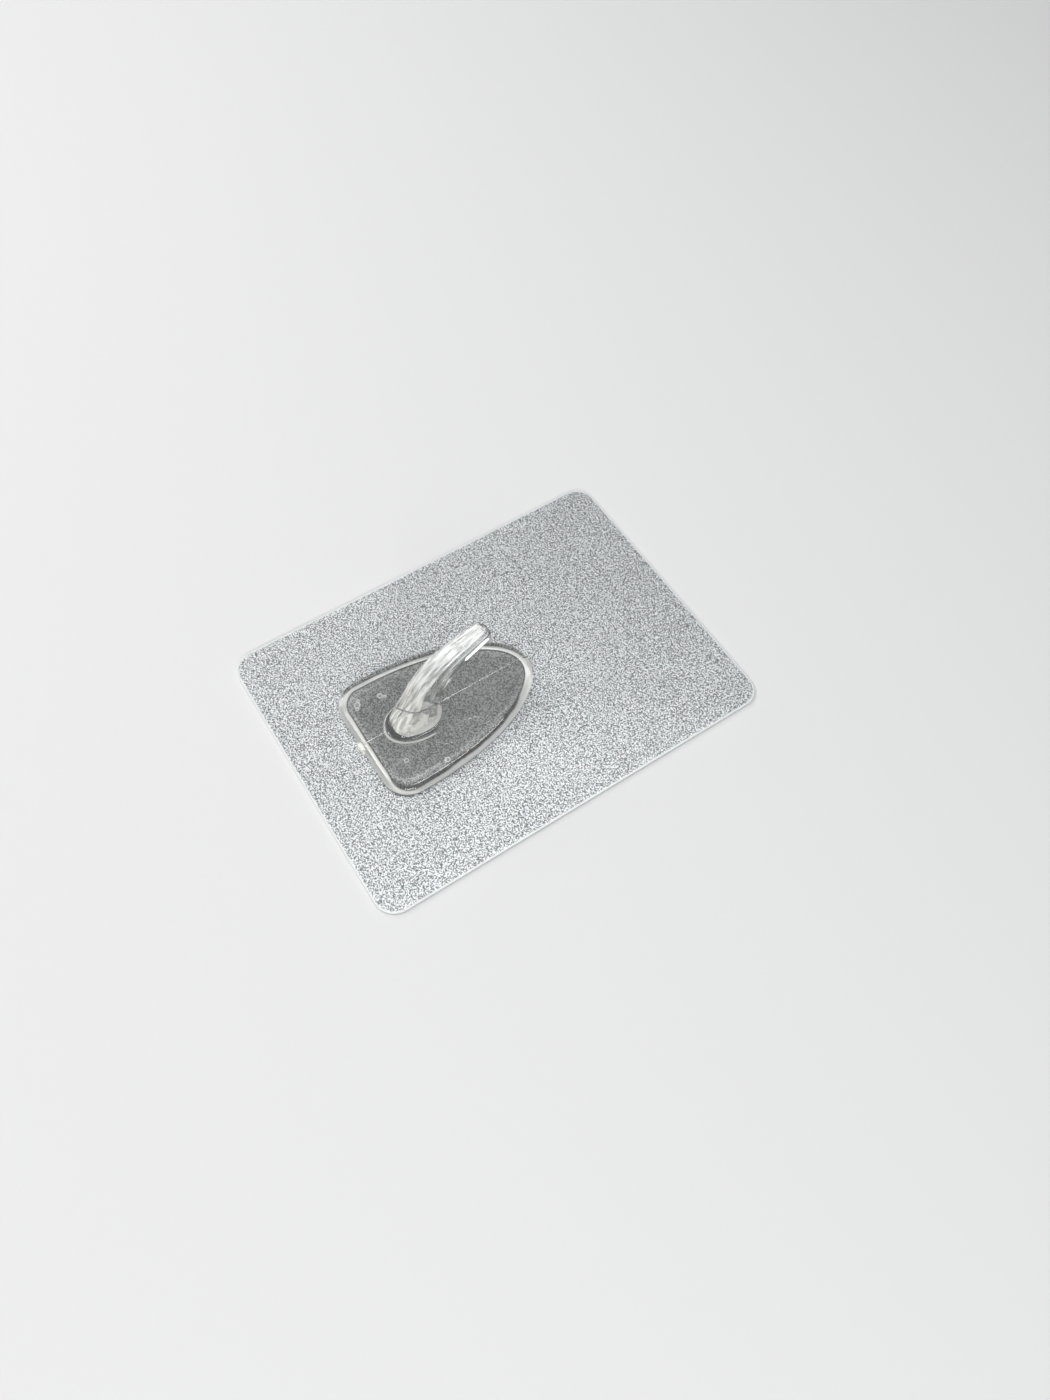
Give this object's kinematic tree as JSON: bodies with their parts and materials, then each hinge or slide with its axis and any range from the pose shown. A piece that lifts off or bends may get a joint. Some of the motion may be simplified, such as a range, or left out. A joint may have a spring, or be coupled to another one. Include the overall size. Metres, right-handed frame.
{
  "type": "adhesive wall hook",
  "caption": "Clear moulded wall hook: a flat shield-shaped base with an upturned arm, glued to a round-cornered silver-grey self-adhesive film sheet with a peel-off release liner.",
  "frame": {"origin": "centre of the sheet's back face, where it lies on a table or against a wall", "axes": "+Z away from the wall, +Y up the wall in use, +X across the sheet"},
  "size_m": [0.06, 0.081, 0.0205],
  "materials": {
    "liner_film": "hazy clear film",
    "clear_adhesive": "tacky, hazy clear",
    "frosted_film": "silver-grey, fine frosted grain",
    "cured_glue": "smooth, grey, with small bubbles",
    "clear_plastic": "clear, polished"
  },
  "bodies": {
    "sheet": {"face_film": "frosted_film", "wall_adhesive": "clear_adhesive", "hook_bond": "cured_glue", "hook": "clear_plastic"},
    "liner": {"release_liner": "liner_film"}
  },
  "joints": [
    {"name": "liner_peel", "type": "slide", "parent": "sheet", "child": "liner", "axis": [1, 0, 0], "range_m": [0, 0.064]}
  ]
}
